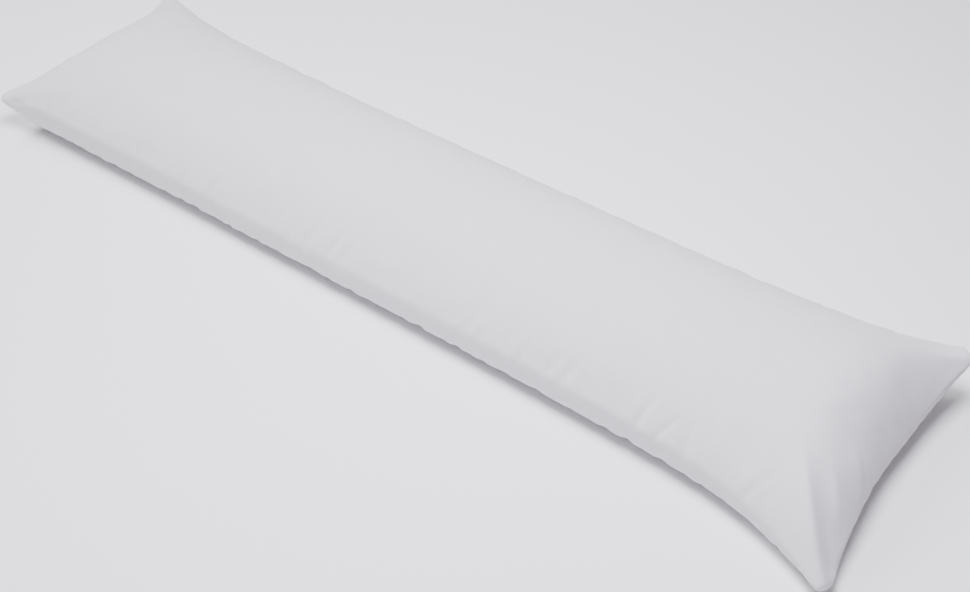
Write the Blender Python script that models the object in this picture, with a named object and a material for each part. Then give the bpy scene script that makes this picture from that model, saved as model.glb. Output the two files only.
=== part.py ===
"""Body pillow lying on its back: two cloth panels, sewn together all round and filled.

Sizes are in metres. X runs along the pillow, Y across it, and the surface that it lies on
is Z = 0. Both panels start as one flat rectangle. Every point of it is then moved to where
the filling and the seam hold it.
"""

import math

import bmesh
import bpy

# Driving sizes of the filled pillow
LENGTH = 1.483              # along X, from corner to corner
WIDTH = 0.391               # along Y, from corner to corner
CROWN_HEIGHT = 0.127        # top of the filled middle
CORNER_RADIUS = 0.024       # turned corners of the two panels
SIDE_DRAW = 0.033           # how far the filling draws each long side in
SIDE_SEAM_HEIGHT = 0.048    # height of the long seams, away from the corners

# The two short ends: where each lies, how far its middle is drawn in, and how high its
# seam stands there
ENDS = {
    "front": {"end": 1, "draw": 0.0225, "seam_height": 0.037},
    "back": {"end": -1, "draw": 0.037, "seam_height": 0.062},
}

# The four corners: the end and the side that each lies on, the height of its tip, how
# quickly the long side draws in behind it, and how far its tip is pulled out along X and Y
CORNERS = {
    "front_right": {"end": 1, "side": -1, "lift": 0.008, "gather": 1.40, "out_x": 0.011, "out_y": 0.027},
    "front_left": {"end": 1, "side": 1, "lift": 0.075, "gather": 1.70, "out_x": -0.007, "out_y": 0.002},
    "back_right": {"end": -1, "side": -1, "lift": 0.058, "gather": 2.20, "out_x": 0.002, "out_y": -0.009},
    "back_left": {"end": -1, "side": 1, "lift": 0.070, "gather": 1.85, "out_x": 0.012, "out_y": 0.006},
}

# How the shape changes away from the seam. Distances are in half widths of the pillow.
SIDE_FULLNESS = 0.64        # power of the crown's curve across: lower is boxier
END_SHOULDER = 3.6          # power of the crown's curve at the ends: higher is steeper
END_SLOPE = 0.80            # distance from an end over which the top climbs to the crown
END_DRAW_SHAPE = 2.2        # power of the drawn-in curve of an end seam
END_DRAW_FADE = 2.2         # how quickly that curve dies away along the pillow
SEAM_SETTLE = 1.62          # how quickly the seam comes to its height along the sides
CORNER_REACH = 0.60         # distance over which a corner's pull dies away
BELLY_SIDE = 0.22           # width of the rounded lower edge, from a long seam to the flat
BELLY_END = 0.35            # the same from an end seam

# Quads of each panel. They are smaller near the seam, where the cloth curves most.
CELLS_ALONG = 64
CELLS_ACROSS = 24
SEAM_CROWDING = 0.6

COVER_COLOUR = (0.68, 0.68, 0.71, 1.0)    # linear
COVER_ROUGHNESS = 0.9
WELD_DISTANCE = 0.00005


def smooth_step(value):
    """Rise from 0 to 1 with no corner at either end."""
    value = min(max(value, 0.0), 1.0)
    return value * value * (3 - 2 * value)


def crowd(value):
    """Move a grid line between -1 and 1 towards the nearer edge of the panel."""
    value = round(value, 5)
    return SEAM_CROWDING * math.sin(value * math.pi / 2) + (1 - SEAM_CROWDING) * value


def hump(distance, power):
    """Curve of the filling: 0 at the seam, level at distance 1 and beyond."""
    distance = min(max(distance, 0.0), 1.0)
    return max(1 - (1 - distance) ** 2, 0.0) ** power


def round_corner(along, across):
    """Draw a square corner of the flat panel in to an arc."""
    inner_x = LENGTH / 2 - CORNER_RADIUS
    inner_y = WIDTH / 2 - CORNER_RADIUS
    over_x = (abs(along) - inner_x) / CORNER_RADIUS
    over_y = (abs(across) - inner_y) / CORNER_RADIUS
    if over_x <= 0 or over_y <= 0:
        return along, across
    arc_x = inner_x + CORNER_RADIUS * over_x * math.sqrt(1 - over_y * over_y / 2)
    arc_y = inner_y + CORNER_RADIUS * over_y * math.sqrt(1 - over_x * over_x / 2)
    return math.copysign(arc_x, along), math.copysign(arc_y, across)


def end_share(end, u):
    """Part of the pillow's length that follows one end: 1 there and 0 at the other."""
    return smooth_step(0.5 + 2 * u * end)


def side_share(side, v):
    """The same across the width, for one long side."""
    return smooth_step(0.5 + v * side)


def between_ends(name, u):
    """A value of the ENDS table at one place along the pillow."""
    return sum(row[name] * end_share(row["end"], u) for row in ENDS.values())


def between_corners(name, u, v):
    """A value of the CORNERS table at one place on the panel."""
    return sum(
        row[name] * end_share(row["end"], u) * side_share(row["side"], v)
        for row in CORNERS.values()
    )


def seam_height(u, along_in, across):
    """Height of the surface on which the two panels meet."""
    mid_share = 1 - abs(across) ** END_DRAW_SHAPE
    corner_line = sum(
        row["lift"] * end_share(row["end"], u) * (1 + across * row["side"]) / 2
        for row in CORNERS.values()
    )
    end_line = corner_line * (1 - mid_share) + between_ends("seam_height", u) * mid_share
    end_weight = math.exp(-along_in * SEAM_SETTLE)
    return end_line * end_weight + SIDE_SEAM_HEIGHT * (1 - end_weight)


def pillow_point(u, v, upper):
    """Place of the panel point (u, v), each from -1 to 1, on the filled pillow."""
    half_width = WIDTH / 2
    along, across = round_corner(u * LENGTH / 2, v * half_width)
    along_in = (LENGTH / 2 - abs(along)) / half_width
    across_share = across / half_width
    across_in = 1 - abs(across_share)

    side_curve = 1 - math.exp(-along_in * between_corners("gather", u, v))
    y = across * (1 - SIDE_DRAW * side_curve / half_width)
    end_curve = (1 - abs(across_share) ** END_DRAW_SHAPE) * math.exp(-along_in * END_DRAW_FADE)
    x = along - math.copysign(between_ends("draw", u) * end_curve, along)

    pull = math.exp(-(along_in ** 2 + across_in ** 2) / CORNER_REACH ** 2)
    x += math.copysign(pull, along) * between_corners("out_x", u, v)
    y += math.copysign(pull, across) * between_corners("out_y", u, v)

    seam = seam_height(u, along_in, across_share)
    from_end = (1 - abs(u)) * LENGTH / WIDTH
    if upper:
        across_hump = hump(1 - abs(v), SIDE_FULLNESS)
        along_hump = 1 - max(1 - from_end / END_SLOPE, 0.0) ** END_SHOULDER
        z = seam + (CROWN_HEIGHT - seam) * across_hump * along_hump
    else:
        across_hump = hump((1 - abs(v)) / BELLY_SIDE, 0.5)
        along_hump = hump(from_end / BELLY_END, 0.5)
        z = seam * (1 - across_hump * along_hump)
    return x, y, z


def add_panel(bm, upper):
    """Lay out one flat panel and move it to its filled shape."""
    grid = bmesh.ops.create_grid(bm, x_segments=CELLS_ALONG, y_segments=CELLS_ACROSS, size=1.0)
    for vertex in grid["verts"]:
        u, v = crowd(vertex.co.x), crowd(vertex.co.y)
        vertex.co = pillow_point(u, v, upper)
    faces = {face for vertex in grid["verts"] for face in vertex.link_faces}
    if not upper:
        bmesh.ops.reverse_faces(bm, faces=list(faces))


def cover_material():
    """Pale grey brushed cloth."""
    material = bpy.data.materials.new("cover_cloth")
    material.use_nodes = True
    shader = material.node_tree.nodes["Principled BSDF"]
    shader.inputs["Base Color"].default_value = COVER_COLOUR
    shader.inputs["Roughness"].default_value = COVER_ROUGHNESS
    shader.inputs["Metallic"].default_value = 0.0
    return material


def add_pillow(collection):
    """Sew the two panels together along their rims."""
    bm = bmesh.new()
    add_panel(bm, upper=True)
    add_panel(bm, upper=False)
    bmesh.ops.remove_doubles(bm, verts=bm.verts, dist=WELD_DISTANCE)
    mesh = bpy.data.meshes.new("body_pillow")
    bm.to_mesh(mesh)
    bm.free()
    mesh.shade_smooth()
    mesh.materials.append(cover_material())
    collection.objects.link(bpy.data.objects.new("body_pillow", mesh))


def main():
    for old in list(bpy.data.objects):
        bpy.data.objects.remove(old, do_unlink=True)
    collection = bpy.data.collections.new("body_pillow")
    bpy.context.scene.collection.children.link(collection)
    add_pillow(collection)


main()
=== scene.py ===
"""A filled body pillow in a plain woven cover, lying on its back on a pale floor.

The cover is cut, sewn and filled by one operator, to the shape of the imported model's pillow.
A second operator sets out the floor, the lamps and the camera. Run as a script, the file does
all of it in one go. All sizes are in metres.
"""

import math

import bpy
import numpy as np
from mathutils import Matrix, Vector, noise


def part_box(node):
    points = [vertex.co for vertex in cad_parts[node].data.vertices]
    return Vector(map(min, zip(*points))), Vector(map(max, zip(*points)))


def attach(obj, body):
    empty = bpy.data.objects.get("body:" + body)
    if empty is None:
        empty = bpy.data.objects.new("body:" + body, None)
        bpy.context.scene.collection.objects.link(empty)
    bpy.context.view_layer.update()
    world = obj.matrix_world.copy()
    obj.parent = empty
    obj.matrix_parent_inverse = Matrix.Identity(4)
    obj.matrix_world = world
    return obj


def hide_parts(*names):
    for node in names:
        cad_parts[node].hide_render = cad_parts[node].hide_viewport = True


bl_info = {
    "name": "Body Pillow",
    "version": (1, 0, 0),
    "blender": (4, 5, 0),
    "location": "3D View > Sidebar > Pillow",
    "description": "Sews and fills a long pillow in a plain woven cover",
    "category": "Object",
}

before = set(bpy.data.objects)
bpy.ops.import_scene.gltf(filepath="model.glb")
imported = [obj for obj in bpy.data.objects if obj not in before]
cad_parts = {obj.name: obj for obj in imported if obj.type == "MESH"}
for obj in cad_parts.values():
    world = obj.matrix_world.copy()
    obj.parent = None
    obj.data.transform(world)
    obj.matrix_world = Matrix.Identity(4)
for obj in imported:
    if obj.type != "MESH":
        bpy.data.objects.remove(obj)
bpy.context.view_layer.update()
PILLOW_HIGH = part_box("body_pillow")[1]
PILLOW_NODE = "body_pillow"

# The two short ends of the pillow: where each lies, how far its middle is drawn in, and how
# high its seam stands there
ENDS = {
    "front": {"end": 1, "draw": 0.0225, "seam_height": 0.037},
    "back": {"end": -1, "draw": 0.037, "seam_height": 0.062},
}

# The four corners: the end and the side that each lies on, the height of its tip, how
# quickly the long side draws in behind it, and how far its tip is pulled out along X and Y
CORNERS = {
    "front_right": {"end": 1, "side": -1, "lift": 0.008, "gather": 1.40, "out_x": 0.011, "out_y": 0.027},
    "front_left": {"end": 1, "side": 1, "lift": 0.075, "gather": 1.70, "out_x": -0.007, "out_y": 0.002},
    "back_right": {"end": -1, "side": -1, "lift": 0.058, "gather": 2.20, "out_x": 0.002, "out_y": -0.009},
    "back_left": {"end": -1, "side": 1, "lift": 0.070, "gather": 1.85, "out_x": 0.012, "out_y": 0.006},
}

# Folds and wrinkles that lie where this pillow has them: the panel that each is in (1 is the
# upper and -1 the lower), the three points of its line on the flat cloth from the middle of the
# panel, how high it stands (a trough has a minus), how far it spreads to the left and right of
# its line, seen from above and from its start on, how round its top is, and the share of its
# length over which it rises and over which it dies away
FOLDS = {
    "front_right_ridge": {
        "panel": 1, "start": (0.7395, -0.1915), "middle": (0.6925, -0.1600), "end": (0.6310, -0.0930),
        "height": 0.0118, "left": 0.018, "right": 0.009, "round": 0.0010, "rise": 0.10, "fall": 0.55},
    "front_right_hollow": {
        "panel": 1, "start": (0.7385, -0.1740), "middle": (0.7080, -0.1460), "end": (0.6620, -0.0980),
        "height": -0.0030, "left": 0.010, "right": 0.016, "round": 0.0060, "rise": 0.15, "fall": 0.60},
    "front_wrinkle_outer": {
        "panel": 1, "start": (0.7270, -0.1370), "middle": (0.7100, -0.1200), "end": (0.6780, -0.0950),
        "height": 0.0030, "left": 0.0060, "right": 0.0050, "round": 0.0020, "rise": 0.45, "fall": 0.45},
    "front_wrinkle_inner": {
        "panel": 1, "start": (0.7370, -0.0930), "middle": (0.7205, -0.0792), "end": (0.6880, -0.0480),
        "height": 0.0026, "left": 0.0110, "right": 0.0050, "round": 0.0020, "rise": 0.30, "fall": 0.45},
    "front_left_ridge": {
        "panel": 1, "start": (0.7395, 0.1880), "middle": (0.7180, 0.1660), "end": (0.6620, 0.1240),
        "height": 0.0060, "left": 0.010, "right": 0.026, "round": 0.0030, "rise": 0.10, "fall": 0.80},
    "back_right_crease": {
        "panel": 1, "start": (-0.7180, -0.1950), "middle": (-0.7020, -0.1935), "end": (-0.6780, -0.1900),
        "height": -0.0042, "left": 0.0055, "right": 0.0045, "round": 0.0015, "rise": 0.35, "fall": 0.45},
    "back_right_dent": {
        "panel": 1, "start": (-0.6960, -0.1900), "middle": (-0.6760, -0.1860), "end": (-0.6540, -0.1870),
        "height": -0.0022, "left": 0.0060, "right": 0.0050, "round": 0.0030, "rise": 0.35, "fall": 0.45},
    "back_right_ridge": {
        "panel": 1, "start": (-0.7390, -0.1890), "middle": (-0.7080, -0.1640), "end": (-0.6500, -0.1300),
        "height": 0.0025, "left": 0.014, "right": 0.014, "round": 0.0050, "rise": 0.10, "fall": 0.70},
    "back_left_ridge": {
        "panel": 1, "start": (-0.7395, 0.1890), "middle": (-0.7080, 0.1640), "end": (-0.6500, 0.1280),
        "height": 0.0025, "left": 0.014, "right": 0.014, "round": 0.0050, "rise": 0.10, "fall": 0.70},
    "front_right_under": {
        "panel": -1, "start": (0.7390, -0.1900), "middle": (0.7050, -0.1700), "end": (0.6550, -0.1500),
        "height": 0.0020, "left": 0.012, "right": 0.012, "round": 0.0050, "rise": 0.10, "fall": 0.60},
    "front_left_under": {
        "panel": -1, "start": (0.7395, 0.1900), "middle": (0.7050, 0.1640), "end": (0.6480, 0.1240),
        "height": 0.0040, "left": 0.012, "right": 0.014, "round": 0.0030, "rise": 0.10, "fall": 0.60},
    "back_right_under": {
        "panel": -1, "start": (-0.7395, -0.1900), "middle": (-0.7030, -0.1680), "end": (-0.6460, -0.1320),
        "height": 0.0040, "left": 0.013, "right": 0.012, "round": 0.0030, "rise": 0.10, "fall": 0.60},
    "back_left_under": {
        "panel": -1, "start": (-0.7395, 0.1900), "middle": (-0.7010, 0.1620), "end": (-0.6500, 0.1180),
        "height": 0.0040, "left": 0.012, "right": 0.014, "round": 0.0030, "rise": 0.10, "fall": 0.60},
}

# Puckers of the four seams: the axis that each runs along (0 is the length and 1 the width),
# the side of the panel it is on, and how deep its puckers are as a share of the deepest
SEAMS = {
    "right": {"along": 0, "side": -1, "depth": 1.00},
    "left": {"along": 0, "side": 1, "depth": 0.85},
    "front": {"along": 1, "side": 1, "depth": 0.60},
    "back": {"along": 1, "side": -1, "depth": 0.70},
}

# How the puckers are drawn at random along each seam, each as a lowest and a highest value: the
# place of the first from the end of the seam, the depth as a share, how far inside the seam a
# pucker is deepest, its half width, how much it leans, and the distance on to the next. None
# starts nearer to the far end than the first could be to this one.
PUCKERS = {
    "first": (0.02, 0.05),
    "depth": (0.1, 1.0),
    "peak": (0.005, 0.013),
    "width": (0.0045, 0.0095),
    "lean": (-0.9, 0.9),
    "spacing": (0.015, 0.055),
}
PUCKER_SEED = 11
PUCKER_REACH = 0.08    # how far along its seam each is worked out, both ways
PUCKER_DEEP = 8        # how far in it is worked out, in its own peaks

# How the filled shape changes away from the seam, with distances in half widths. All but two
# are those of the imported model. SIDE_FULLNESS is a little lower, to make up for what the
# simulation takes from the sides, and BELLY_TUCK keeps the panels apart at the tips.
SIDE_FULLNESS = 0.62   # power of the crown's curve across: lower is boxier
END_SHOULDER = 3.6     # power of the crown's curve at the ends: higher is steeper
END_SLOPE = 0.80       # distance from an end over which the top climbs to the crown
END_DRAW_SHAPE = 2.2   # power of the drawn-in curve of an end seam
END_DRAW_FADE = 2.2    # how quickly that curve dies away along the pillow
SEAM_SETTLE = 1.62     # how quickly the seam comes to its height along the sides
CORNER_REACH = 0.60    # distance over which a corner's pull dies away
BELLY_SIDE = 0.22      # width of the rounded lower edge, from a long seam to the flat
BELLY_END = 0.35       # the same from an end seam
BELLY_ROUND = 0.5      # power of the rounded lower edge's curve: lower is boxier
BELLY_TUCK = 0.3       # how much that power rises at the corners
CROWN_RISE = 0.0015    # how far the filling presses the crown up

# How the cloth is laid out in cells, sewn and held
UV_NAME = "flat_cloth"
PANEL_GAP = 0.05       # between the two panels as laid out in the UV map
RIM_CROWDING = 0.84    # share of a cell's size that is taken away at the rim
RIM_ROWS = 2.2         # rows from the rim over which the cells grow back
WELD_DISTANCE = 0.00005
SEAM_EDGE = 0.0005     # nearer than this to the seam, or to the floor, the cloth is held
FILLING_FRAMES = 20
CLOTH_STIFFNESS = 40
CLOTH_BENDING = 0.05
NO_MOVEMENT = 1e-9     # stands in for zero where the movement is divided by

# The details that are worked in afterwards
ROLL_SHARE = 0.4       # height of the roll beside the groove, as a share of the groove's depth
ROLL_PLACE = 3         # where its top is, in groove widths from the seam
ROLL_WIDTH = 1.5       # its half width, in groove widths
FOLD_POINTS = 25       # points along each fold's line
FOLD_REACH = 6         # how far from its line a fold is worked out, in its own spreads
LUMP_DETAIL = 7        # broad lumps of the filling to a metre
GATHER_DETAIL = 30     # close lumps by the seam to a metre
GATHER_PLACE = 0.022   # distance from the seam at which the close lumps stand highest
LUMP_FADE = 0.02       # below this height the lumps die away to the flat underside
CORNER_SMOOTH = 0.09   # the puckers and close lumps die away over this distance to a corner
TIP_SHARE = 4          # the groove dies away this many times nearer the tip of a corner

# The cloth's nap: its streaks to a metre along and across, its patches to a metre, the weight
# of the patches beside the streaks, and where the two together give the nap colour and where
# the cloth colour. Then the depths of the nap and of the weave.
NAP_STREAKS = (220, 420, 1)
NAP_PATCHES = 26.0
PATCH_WEIGHT = 0.5
NAP_LOW, NAP_HIGH = 0.45, 1.05
NAP_DEPTH, WEAVE_DEPTH = 0.0003, 0.0002

FLOOR_SIZE = 14


class PillowShape(bpy.types.PropertyGroup):
    """Sizes of the sewn and filled cover"""
    length: bpy.props.FloatProperty(
        name="Length", description="Corner to corner along the pillow", default=1.483, unit="LENGTH")
    width: bpy.props.FloatProperty(
        name="Width", description="Corner to corner across the pillow", default=0.391, unit="LENGTH")
    crown: bpy.props.FloatProperty(
        name="Crown", description="Height of the filled middle before the filling presses it up",
        default=PILLOW_HIGH.z - CROWN_RISE, unit="LENGTH")
    corner_radius: bpy.props.FloatProperty(
        name="Corner Radius", description="Radius of the turned corners", default=0.024, unit="LENGTH")
    side_draw: bpy.props.FloatProperty(
        name="Side Draw", description="How far the filling draws each long side in",
        default=0.033, unit="LENGTH")
    side_seam: bpy.props.FloatProperty(
        name="Side Seam Height", description="Height of the long seams", default=0.048, unit="LENGTH")
    cell: bpy.props.FloatProperty(
        name="Cloth Cell", description="Size of the cells that the cloth is simulated in",
        default=0.0075, unit="LENGTH")
    spare_cloth: bpy.props.FloatProperty(
        name="Spare Cloth", description="Share by which the cut cloth is larger than the panel",
        default=0.01, subtype="FACTOR")
    pressure: bpy.props.FloatProperty(
        name="Filling Pressure", description="Push of the filling on the cloth", default=4.0)
    most_movement: bpy.props.FloatProperty(
        name="Most Movement", description="Furthest that the simulation may move the cloth",
        default=0.004, unit="LENGTH")
    groove_depth: bpy.props.FloatProperty(
        name="Groove Depth", description="How far the stitched line lies in", default=0.0014, unit="LENGTH")
    groove_width: bpy.props.FloatProperty(
        name="Groove Width", description="Half width of the stitched line's groove",
        default=0.0016, unit="LENGTH")
    pucker_depth: bpy.props.FloatProperty(
        name="Pucker Depth", description="Depth of the deepest seam puckers", default=0.0022, unit="LENGTH")
    seam_lumps: bpy.props.FloatProperty(
        name="Seam Lumps", description="How uneven the cloth is along the seams", default=0.0016,
        unit="LENGTH")
    lump_height: bpy.props.FloatProperty(
        name="Filling Lumps", description="How far the filling's unevenness shows", default=0.0006,
        unit="LENGTH")


class PillowCloth(bpy.types.PropertyGroup):
    """Colours and threads of the cover's cloth"""
    colour: bpy.props.StringProperty(
        name="Cloth Colour", description="sRGB hex colour of the cloth", default="DDDBDE")
    shadow_colour: bpy.props.StringProperty(
        name="Nap Colour", description="sRGB hex colour where the nap lies away", default="D5D2D6")
    thread: bpy.props.FloatProperty(
        name="Thread Spacing", description="Distance between the threads as drawn", default=0.0018,
        unit="LENGTH")


class StageLayout(bpy.types.PropertyGroup):
    """Camera and lamps"""
    azimuth: bpy.props.FloatProperty(
        name="Azimuth", description="Where the camera stands round the pillow, in degrees", default=37.87)
    elevation: bpy.props.FloatProperty(
        name="Elevation", description="Height of the camera above the horizon, in degrees", default=40.82)
    distance: bpy.props.FloatProperty(
        name="Distance", description="From the camera to the point it looks at", default=2.0195,
        unit="LENGTH")
    lens: bpy.props.FloatProperty(
        name="Lens", description="Focal length in millimetres", default=55.87)
    aim: bpy.props.FloatVectorProperty(
        name="Aim", description="Point the camera looks at", default=(0.1565, -0.0806, 0.05), subtype="XYZ")
    floor_colour: bpy.props.StringProperty(
        name="Floor Colour", description="sRGB hex colour of the paper floor", default="F6F6F6")
    room_light: bpy.props.FloatProperty(
        name="Room Light", description="Strength of the even light from all round", default=0.09)


# The studio's lamps, each a round softbox: where it hangs, its width, its power in watts and
# its colour. The card is a dim, faintly pink reflector beside the front end.
LAMPS = {
    "key": {"place": (-3.2, 0.3, 3.2), "width": 2.6, "power": 214, "colour": "FAFAFF"},
    "front": {"place": (-0.4, -3.2, 0.7), "width": 1.1, "power": 23, "colour": "FFFFFF"},
    "overhead": {"place": (0.3, -0.25, 1.8), "width": 1.0, "power": 77, "colour": "F2F2FF"},
    "rear": {"place": (-0.2, 2.8, 3.0), "width": 2.4, "power": 19, "colour": "FFFFFF"},
    "card": {"place": (2.4, -0.4, 0.8), "width": 1.2, "power": 2, "colour": "FFB4CC"},
}


def smooth_step(value):
    """Rise from 0 to 1 with no corner at either end."""
    value = min(max(value, 0.0), 1.0)
    return value * value * (3 - 2 * value)


def hump(distance, power):
    """Curve of the filling: 0 at the seam, level at distance 1 and beyond."""
    distance = min(max(distance, 0.0), 1.0)
    return max(1 - (1 - distance) ** 2, 0.0) ** power


def crowd(value, cells):
    """Move an even grid line between -1 and 1 towards the rim, so that the seam has fine rows."""
    half = cells / 2
    from_rim = (1 - abs(round(value, 5))) * half
    moved = from_rim - RIM_CROWDING * RIM_ROWS * (1 - math.exp(-from_rim / RIM_ROWS))
    whole = half - RIM_CROWDING * RIM_ROWS * (1 - math.exp(-half / RIM_ROWS))
    return math.copysign(1 - moved / whole, value)


def end_share(end, u):
    """Part of the pillow's length that follows one end: 1 there and 0 at the other."""
    return smooth_step(0.5 + 2 * u * end)


def side_share(side, v):
    """The same across the width, for one long side."""
    return smooth_step(0.5 + v * side)


def between_ends(name, u):
    """A value of the ENDS table at one place along the pillow."""
    return sum(row[name] * end_share(row["end"], u) for row in ENDS.values())


def between_corners(name, u, v):
    """A value of the CORNERS table at one place on the panel."""
    return sum(row[name] * end_share(row["end"], u) * side_share(row["side"], v)
               for row in CORNERS.values())


def round_corner(shape, along, across):
    """Draw a square corner of the flat panel in to an arc."""
    radius = shape.corner_radius
    inner_x, inner_y = shape.length / 2 - radius, shape.width / 2 - radius
    over_x, over_y = (abs(along) - inner_x) / radius, (abs(across) - inner_y) / radius
    if over_x <= 0 or over_y <= 0:
        return along, across
    arc_x = inner_x + radius * over_x * math.sqrt(1 - over_y * over_y / 2)
    arc_y = inner_y + radius * over_y * math.sqrt(1 - over_x * over_x / 2)
    return math.copysign(arc_x, along), math.copysign(arc_y, across)


def seam_height(shape, u, along_in, across):
    """Height of the surface on which the two panels meet."""
    mid_share = 1 - abs(across) ** END_DRAW_SHAPE
    corner_line = sum(row["lift"] * end_share(row["end"], u) * (1 + across * row["side"]) / 2
                      for row in CORNERS.values())
    end_line = corner_line * (1 - mid_share) + between_ends("seam_height", u) * mid_share
    end_weight = math.exp(-along_in * SEAM_SETTLE)
    return end_line * end_weight + shape.side_seam * (1 - end_weight)


def pillow_point(shape, u, v, upper):
    """Place of the panel point (u, v), each from -1 to 1, on the filled pillow."""
    half_width = shape.width / 2
    along, across = round_corner(shape, u * shape.length / 2, v * half_width)
    along_in = (shape.length / 2 - abs(along)) / half_width
    across_share = across / half_width
    across_in = 1 - abs(across_share)
    side_curve = 1 - math.exp(-along_in * between_corners("gather", u, v))
    y = across * (1 - shape.side_draw * side_curve / half_width)
    end_curve = (1 - abs(across_share) ** END_DRAW_SHAPE) * math.exp(-along_in * END_DRAW_FADE)
    x = along - math.copysign(between_ends("draw", u) * end_curve, along)
    pull = math.exp(-(along_in ** 2 + across_in ** 2) / CORNER_REACH ** 2)
    x += math.copysign(pull, along) * between_corners("out_x", u, v)
    y += math.copysign(pull, across) * between_corners("out_y", u, v)
    seam = seam_height(shape, u, along_in, across_share)
    from_end = (1 - abs(u)) * shape.length / shape.width
    if upper:
        across_hump = hump(1 - abs(v), SIDE_FULLNESS)
        along_hump = 1 - max(1 - from_end / END_SLOPE, 0) ** END_SHOULDER
        z = seam + (shape.crown - seam) * across_hump * along_hump
    else:
        power = BELLY_ROUND + BELLY_TUCK * pull
        across_hump = hump((1 - abs(v)) / BELLY_SIDE, power)
        along_hump = hump(from_end / BELLY_END, power)
        z = seam * (1 - across_hump * along_hump)
    return x, y, z


def deselect_all():
    """Leaves nothing selected before an operator runs."""
    for item in bpy.context.selected_objects:
        item.select_set(False)


def cut_panel(shape, name, upper):
    """One panel, moved to its filled shape. Its UV map holds the flat cloth in metres, with the
    lower panel laid out beside the upper one."""
    deselect_all()
    cells_along = round(shape.length / shape.cell)
    cells_across = round(shape.width / shape.cell)
    bpy.ops.mesh.primitive_grid_add(
        x_subdivisions=cells_along, y_subdivisions=cells_across, size=2, location=(0, 0, 0))
    panel = bpy.context.object
    panel.name = name
    mesh = panel.data
    flat = [(crowd(v.co.x, cells_along), crowd(v.co.y, cells_across)) for v in mesh.vertices]
    beside = 0 if upper else shape.width + PANEL_GAP
    uv = mesh.uv_layers[0].data
    for loop in mesh.loops:
        u, v = flat[loop.vertex_index]
        uv[loop.index].uv = (u * shape.length / 2, v * shape.width / 2 - beside)
    for vertex, (u, v) in zip(mesh.vertices, flat):
        vertex.co = pillow_point(shape, u, v, upper)
    if not upper:
        mesh.flip_normals()
    return panel


def sew(panels, name):
    """Joins the panels along their rims."""
    deselect_all()
    for panel in panels:
        panel.select_set(True)
    bpy.context.view_layer.objects.active = panels[0]
    bpy.ops.object.join()
    cover = bpy.context.object
    cover.name = cover.data.name = name
    bpy.ops.object.mode_set(mode="EDIT")
    bpy.ops.mesh.select_all(action="SELECT")
    bpy.ops.mesh.remove_doubles(threshold=WELD_DISTANCE)
    bpy.ops.object.mode_set(mode="OBJECT")
    return cover


def coordinates(mesh):
    """The places of all vertices, one row each."""
    points = np.zeros(len(mesh.vertices) * 3)
    mesh.vertices.foreach_get("co", points)
    return points.reshape(-1, 3)


def set_coordinates(mesh, points):
    """Moves the vertices, with none of them below the surface that the pillow lies on."""
    points[:, 2] = np.maximum(points[:, 2], 0)
    mesh.vertices.foreach_set("co", points.ravel())
    mesh.update()


def flat_places(shape, mesh):
    """Each vertex's place on its flat panel, and 1 on the upper panel or -1 on the lower."""
    uv = np.zeros(len(mesh.loops) * 2)
    mesh.uv_layers[0].data.foreach_get("uv", uv)
    vertex_of = np.zeros(len(mesh.loops), int)
    mesh.loops.foreach_get("vertex_index", vertex_of)
    places = np.zeros((len(mesh.vertices), 2))
    places[vertex_of] = uv.reshape(-1, 2)
    panel = np.where(places[:, 1] < -(shape.width + PANEL_GAP) / 2, -1, 1)
    places[:, 1] += np.where(panel < 0, shape.width + PANEL_GAP, 0)
    return places, panel


def from_seams(shape, places):
    """How far each place of the flat cloth lies from the nearest seam."""
    half = np.array([shape.length, shape.width]) / 2
    return np.maximum((half - np.abs(places)).min(axis=1), 0)


def from_corners(shape, places):
    """0 at the four corners, where the cloth is stretched smooth, and 1 away from them."""
    half = np.array([shape.length, shape.width]) / 2
    return np.clip((half - np.abs(places)).max(axis=1) / CORNER_SMOOTH, 0, 1) ** 2


def fill(shape, cover):
    """Presses the cloth out from inside. The seam and the flat underside are held, and the
    cloth's own size is that of the cut panel with a little to spare."""
    mesh = cover.data
    start = coordinates(mesh)
    places, panel = flat_places(shape, mesh)
    held = (from_seams(shape, places) < SEAM_EDGE) | (start[:, 2] < SEAM_EDGE)
    group = cover.vertex_groups.new(name="held")
    group.add([int(index) for index in np.flatnonzero(held)], 1.0, "REPLACE")
    cover.shape_key_add(name="Filled")
    flat_key = cover.shape_key_add(name="Flat")
    flat = np.c_[places * (1 + shape.spare_cloth), np.zeros(len(places))]
    flat_key.data.foreach_set("co", flat.ravel())
    cloth = cover.modifiers.new("Filling", "CLOTH")
    settings = cloth.settings
    settings.rest_shape_key = flat_key
    settings.vertex_group_mass = group.name
    settings.use_pressure = True
    settings.uniform_pressure_force = shape.pressure
    settings.effector_weights.gravity = 0
    settings.tension_stiffness = settings.compression_stiffness = CLOTH_STIFFNESS
    settings.bending_stiffness = CLOTH_BENDING
    cloth.collision_settings.use_collision = False
    scene = bpy.context.scene
    for frame_number in range(1, FILLING_FRAMES + 1):
        scene.frame_set(frame_number)
    graph = bpy.context.evaluated_depsgraph_get()
    moved = coordinates(cover.evaluated_get(graph).data) - start
    cover.modifiers.remove(cloth)
    cover.shape_key_clear()
    cover.vertex_groups.clear()
    scene.frame_set(1)
    far = np.maximum(np.linalg.norm(moved, axis=1, keepdims=True), NO_MOVEMENT)
    cap = shape.most_movement
    set_coordinates(mesh, start + moved * cap * np.tanh(far / cap) / far)


def fold_line(fold):
    """The fold's line on the flat cloth, a smooth curve through its three points."""
    t = np.linspace(0, 1, FOLD_POINTS)[:, None]
    start, middle, end = (np.array(fold[name]) for name in ("start", "middle", "end"))
    control = 2 * middle - (start + end) / 2
    return (1 - t) ** 2 * start + 2 * t * (1 - t) * control + t ** 2 * end


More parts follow.
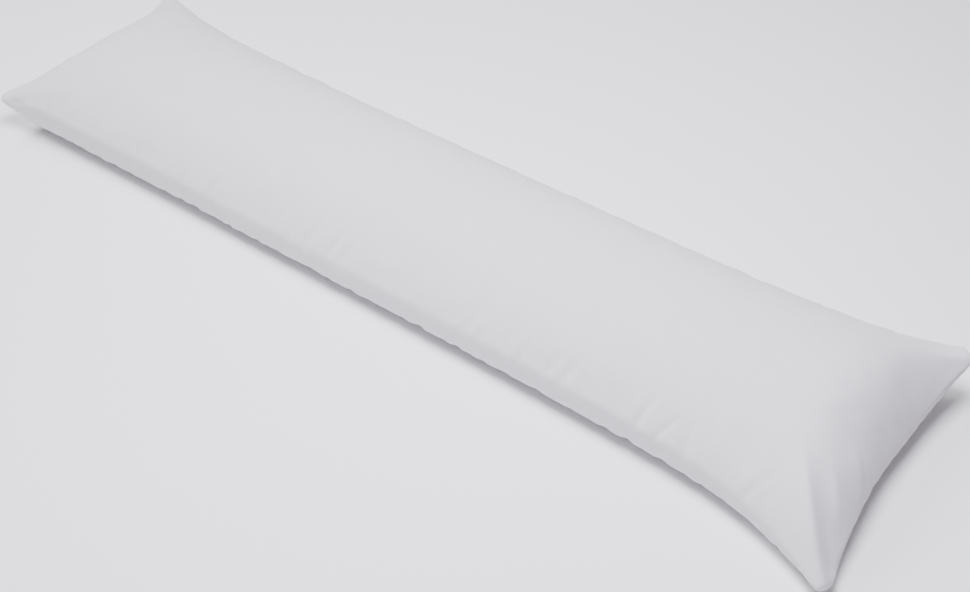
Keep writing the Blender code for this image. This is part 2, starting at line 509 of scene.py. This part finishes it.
def fold_heights(places, panel):
    """How far each vertex stands out for the folds and wrinkles of the FOLDS table."""
    heights = np.zeros(len(places))
    for fold in FOLDS.values():
        line = fold_line(fold)
        reach = FOLD_REACH * max(fold["left"], fold["right"])
        near = np.flatnonzero(
            (panel == fold["panel"])
            & (places > line.min(axis=0) - reach).all(axis=1)
            & (places < line.max(axis=0) + reach).all(axis=1))
        nearest = np.full(len(near), np.inf)
        along = np.zeros(len(near))
        left = np.zeros(len(near), bool)
        for step, (a, b) in enumerate(zip(line[:-1], line[1:])):
            offset, run = places[near] - a, b - a
            t = np.clip(offset @ run / (run @ run), 0, 1)
            away = np.linalg.norm(offset - t[:, None] * run, axis=1)
            closer = away < nearest
            along[closer] = (step + t[closer]) / (len(line) - 1)
            left[closer] = (run[0] * offset[:, 1] - run[1] * offset[:, 0] > 0)[closer]
            nearest[closer] = away[closer]
        spread = np.where(left, fold["left"], fold["right"])
        profile = np.exp(-(np.sqrt(nearest ** 2 + fold["round"] ** 2) - fold["round"]) / spread)
        fade = np.clip(along / fold["rise"], 0, 1) * np.clip((1 - along) / fold["fall"], 0, 1)
        heights[near] += fold["height"] * profile * fade * fade * (3 - 2 * fade)
    return heights


def pucker_heights(shape, places, panel):
    """Small uneven puckers that run in from each seam, deepest a little way inside it."""
    draw = np.random.default_rng(PUCKER_SEED)
    heights = np.zeros(len(places))
    half = np.array([shape.length, shape.width]) / 2
    for side in (1, -1):
        for seam in SEAMS.values():
            along, across = places[:, seam["along"]], places[:, 1 - seam["along"]]
            inward = half[1 - seam["along"]] - across * seam["side"]
            place = -half[seam["along"]] + draw.uniform(*PUCKERS["first"])
            while place < half[seam["along"]] - PUCKERS["first"][0]:
                depth = shape.pucker_depth * seam["depth"] * draw.uniform(*PUCKERS["depth"])
                peak = draw.uniform(*PUCKERS["peak"])
                width = draw.uniform(*PUCKERS["width"])
                lean = draw.uniform(*PUCKERS["lean"])
                near = ((panel == side) & (inward < PUCKER_DEEP * peak)
                        & (np.abs(along - place) < PUCKER_REACH))
                across_line = (along[near] - place - lean * inward[near]) / width
                inward_share = inward[near] / peak
                profile = (1 - across_line ** 2) * np.exp(-across_line ** 2 / 2)
                heights[near] -= depth * profile * inward_share * np.exp(1 - inward_share)
                place += draw.uniform(*PUCKERS["spacing"])
    return heights * from_corners(shape, places)


def lump_heights(shape, points, places):
    """Slow, slight unevenness of the filling, and closer lumps where the seam gathers it."""
    broad = np.array([noise.noise(Vector(point) * LUMP_DETAIL) for point in points])
    close = np.array([noise.noise(Vector(point) * GATHER_DETAIL) for point in points])
    inward = from_seams(shape, places) / GATHER_PLACE
    by_seam = inward * np.exp(1 - inward) * from_corners(shape, places)
    heights = shape.lump_height * broad + shape.seam_lumps * close * by_seam
    return heights * np.clip(points[:, 2] / LUMP_FADE, 0, 1)


def work_details(shape, cover):
    """The stitched groove, the rolls beside it, the puckers, the folds and the lumps."""
    mesh = cover.data
    points = coordinates(mesh)
    normals = np.zeros(points.size)
    mesh.vertices.foreach_get("normal", normals)
    places, panel = flat_places(shape, mesh)
    inward = from_seams(shape, places) / shape.groove_width
    groove = -shape.groove_depth * np.exp(-inward ** 2)
    roll = ROLL_SHARE * shape.groove_depth * np.exp(-((inward - ROLL_PLACE) / ROLL_WIDTH) ** 2)
    heights = (groove + roll) * np.minimum(TIP_SHARE * from_corners(shape, places), 1)
    heights += fold_heights(places, panel)
    heights += pucker_heights(shape, places, panel) + lump_heights(shape, points, places)
    heights *= np.where(points[:, 2] < SEAM_EDGE, 0, 1)
    set_coordinates(mesh, points + normals.reshape(-1, 3) * heights[:, None])


def linear_colour(hex_colour):
    """Linear colour of an sRGB hex value such as D0D0D4."""
    parts = [int(hex_colour[place:place + 2], 16) / 255 for place in (0, 2, 4)]
    linear = [part / 12.92 if part <= 0.04045 else ((part + 0.055) / 1.055) ** 2.4 for part in parts]
    return (*linear, 1.0)


def new_material(name):
    """A material and its node tree."""
    material = bpy.data.materials.new(name)
    material.use_nodes = True
    return material, material.node_tree


def add_node(tree, kind, settings=None, **links):
    """Adds a node. A setting that names an input sets its socket, and any other sets the node
    itself. A link gives an input its source socket, with the input's spaces as underscores.
    An input whose name isn't its own is given by its number, in a link after an underscore."""
    node = tree.nodes.new(kind)
    for name, value in (settings or {}).items():
        if isinstance(name, int) or name in node.inputs:
            node.inputs[name].default_value = value
        else:
            setattr(node, name, value)
    for name, source in links.items():
        key = int(name[1:]) if name[0] == "_" else name.replace("_", " ")
        tree.links.new(source, node.inputs[key])
    return node


def plain_weave(tree, flat, thread):
    """Heights of a plain weave: warp over weft and weft over warp by turns, each thread round
    on top."""
    scaled = add_node(tree, "ShaderNodeVectorMath", {"operation": "SCALE", "Scale": math.pi / thread},
                      _0=flat)
    axes = add_node(tree, "ShaderNodeSeparateXYZ", Vector=scaled.outputs[0])
    sine_x = add_node(tree, "ShaderNodeMath", {"operation": "SINE"}, _0=axes.outputs["X"]).outputs[0]
    sine_y = add_node(tree, "ShaderNodeMath", {"operation": "SINE"}, _0=axes.outputs["Y"]).outputs[0]
    over = add_node(tree, "ShaderNodeMath", {"operation": "MULTIPLY"}, _0=sine_x, _1=sine_y).outputs[0]
    round_x = add_node(tree, "ShaderNodeMath", {"operation": "ABSOLUTE"}, _0=sine_x).outputs[0]
    round_y = add_node(tree, "ShaderNodeMath", {"operation": "ABSOLUTE"}, _0=sine_y).outputs[0]
    warp = add_node(tree, "ShaderNodeMath", {"operation": "ADD"}, _0=round_x, _1=over).outputs[0]
    weft = add_node(tree, "ShaderNodeMath", {"operation": "SUBTRACT"}, _0=round_y, _1=over).outputs[0]
    return add_node(tree, "ShaderNodeMath", {"operation": "MAXIMUM"}, _0=warp, _1=weft).outputs[0]


def brushed_microfibre(cloth):
    """Plain woven polyester microfibre, brushed after weaving. To the eye it is matt and even,
    with a slight bloom at grazing angles, a nap that lies a little this way and that, and a
    weave that shows only close to. The real threads lie 0.3 mm apart, which no render of the
    whole pillow can show, so they are drawn at the spacing in PillowCloth."""
    material, tree = new_material("brushed_microfibre")
    shader = tree.nodes["Principled BSDF"]
    shader.inputs["Roughness"].default_value = 0.85
    shader.inputs["IOR"].default_value = 1.45
    shader.inputs["Sheen Weight"].default_value = 0.12
    shader.inputs["Sheen Roughness"].default_value = 0.45
    flat = add_node(tree, "ShaderNodeUVMap", {"uv_map": UV_NAME}).outputs["UV"]

    # Nap: short soft streaks along the cloth, and broader patches where it was stroked
    streaks = add_node(tree, "ShaderNodeMapping", {"Scale": NAP_STREAKS}, Vector=flat)
    nap = add_node(tree, "ShaderNodeTexNoise", {"Scale": 1.0, "Detail": 3.0, "Roughness": 0.6},
                   Vector=streaks.outputs[0]).outputs[0]
    patches = add_node(tree, "ShaderNodeTexNoise", {"Scale": NAP_PATCHES, "Detail": 2.0, "Roughness": 0.5},
                       Vector=flat).outputs[0]
    both = add_node(tree, "ShaderNodeMath", {"operation": "MULTIPLY_ADD", 1: PATCH_WEIGHT},
                    _0=patches, _2=nap).outputs[0]
    share = add_node(tree, "ShaderNodeMapRange", {"From Min": NAP_LOW, "From Max": NAP_HIGH},
                     Value=both).outputs[0]
    tint = add_node(tree, "ShaderNodeMix", {"data_type": "RGBA", 6: linear_colour(cloth.shadow_colour),
                                            7: linear_colour(cloth.colour)}, Factor=share)
    tree.links.new(tint.outputs[2], shader.inputs["Base Color"])

    # The weave under the nap, both as bump heights
    weave = plain_weave(tree, flat, cloth.thread)
    nap_bump = add_node(tree, "ShaderNodeBump", {"Strength": 0.35, "Distance": NAP_DEPTH}, Height=nap)
    weave_bump = add_node(tree, "ShaderNodeBump", {"Strength": 0.25, "Distance": WEAVE_DEPTH},
                          Height=weave, Normal=nap_bump.outputs[0])
    tree.links.new(weave_bump.outputs[0], shader.inputs["Normal"])
    return material


class PILLOW_OT_cover(bpy.types.Operator):
    """Sew the pillow's cover and fill it"""
    bl_idname = "pillow.cover"
    bl_label = "Pillow Cover"

    def execute(self, context):
        shape = context.scene.pillow_shape
        upper = cut_panel(shape, "upper_panel", True)
        lower = cut_panel(shape, "lower_panel", False)
        cover = sew([upper, lower], "pillow_cover")
        cover.data.uv_layers[0].name = UV_NAME
        fill(shape, cover)
        smooth = cover.modifiers.new("Smooth", "SUBSURF")
        smooth.levels = smooth.render_levels = 1
        bpy.ops.object.modifier_apply(modifier="Smooth")
        work_details(shape, cover)
        cover.data.shade_smooth()
        cover.data.materials.clear()
        cover.data.materials.append(brushed_microfibre(context.scene.pillow_cloth))
        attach(cover, "root")
        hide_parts(PILLOW_NODE)
        return {"FINISHED"}


def look_at(item, place, target):
    """Puts a lamp or camera at a place and points it at another."""
    item.location = place
    item.rotation_mode = "QUATERNION"
    item.rotation_quaternion = (Vector(target) - Vector(place)).to_track_quat("-Z", "Y")


def add_floor(stage):
    """Wide sheet of matt paper: pale, with no gloss."""
    deselect_all()
    bpy.ops.mesh.primitive_plane_add(size=FLOOR_SIZE, location=(0, 0, 0))
    floor = bpy.context.object
    floor.name = "floor"
    material, tree = new_material("matt_paper")
    shader = tree.nodes["Principled BSDF"]
    shader.inputs["Base Color"].default_value = linear_colour(stage.floor_colour)
    shader.inputs["Roughness"].default_value = 0.9
    floor.data.materials.append(material)


def add_lamp(name, place, width, power, colour):
    """One round softbox, pointed at the pillow."""
    light = bpy.data.lights.new(name, "AREA")
    light.shape = "DISK"
    light.size = width
    light.energy = power
    light.color = linear_colour(colour)[:3]
    lamp = bpy.data.objects.new(name, light)
    bpy.context.scene.collection.objects.link(lamp)
    lamp.visible_camera = False
    look_at(lamp, place, (0, 0, PILLOW_HIGH.z / 2))


def add_room_light(stage):
    """Faint even light from all round."""
    world = bpy.data.worlds.new("studio")
    world.use_nodes = True
    background = world.node_tree.nodes["Background"]
    background.inputs["Color"].default_value = (1, 1, 1, 1)
    background.inputs["Strength"].default_value = stage.room_light
    bpy.context.scene.world = world


def add_camera(stage):
    """Camera at the layout's angle and distance, looking at its aim."""
    azimuth, elevation = math.radians(stage.azimuth), math.radians(stage.elevation)
    back = Vector((math.sin(azimuth) * math.cos(elevation),
                   -math.cos(azimuth) * math.cos(elevation), math.sin(elevation)))
    camera_data = bpy.data.cameras.new("camera")
    camera_data.lens = stage.lens
    camera = bpy.data.objects.new("camera", camera_data)
    bpy.context.scene.collection.objects.link(camera)
    aim = Vector(stage.aim)
    look_at(camera, aim + back * stage.distance, aim)
    bpy.context.scene.camera = camera


class PILLOW_OT_stage(bpy.types.Operator):
    """Set out the floor, the lamps and the camera"""
    bl_idname = "pillow.stage"
    bl_label = "Stage"

    def execute(self, context):
        stage = context.scene.pillow_stage
        add_floor(stage)
        add_room_light(stage)
        for name, lamp in LAMPS.items():
            add_lamp(name, **lamp)
        add_camera(stage)
        return {"FINISHED"}


class PILLOW_PT_panel(bpy.types.Panel):
    """Lists the steps that make the pillow"""
    bl_idname = "PILLOW_PT_panel"
    bl_label = "Pillow"
    bl_space_type = "VIEW_3D"
    bl_region_type = "UI"
    bl_category = "Pillow"

    def draw(self, context):
        self.layout.operator("pillow.cover")
        self.layout.operator("pillow.stage")


CLASSES = (PillowShape, PillowCloth, StageLayout, PILLOW_OT_cover, PILLOW_OT_stage, PILLOW_PT_panel)


def register():
    """Adds the classes and the scene's three groups of settings."""
    for cls in CLASSES:
        bpy.utils.register_class(cls)
    bpy.types.Scene.pillow_shape = bpy.props.PointerProperty(type=PillowShape)
    bpy.types.Scene.pillow_cloth = bpy.props.PointerProperty(type=PillowCloth)
    bpy.types.Scene.pillow_stage = bpy.props.PointerProperty(type=StageLayout)


def unregister():
    """Takes them away again."""
    del bpy.types.Scene.pillow_shape
    del bpy.types.Scene.pillow_cloth
    del bpy.types.Scene.pillow_stage
    for cls in reversed(CLASSES):
        bpy.utils.unregister_class(cls)


def main():
    """Makes the pillow and its stage."""
    register()
    bpy.ops.pillow.cover()
    bpy.ops.pillow.stage()


if __name__ == "__main__":
    main()
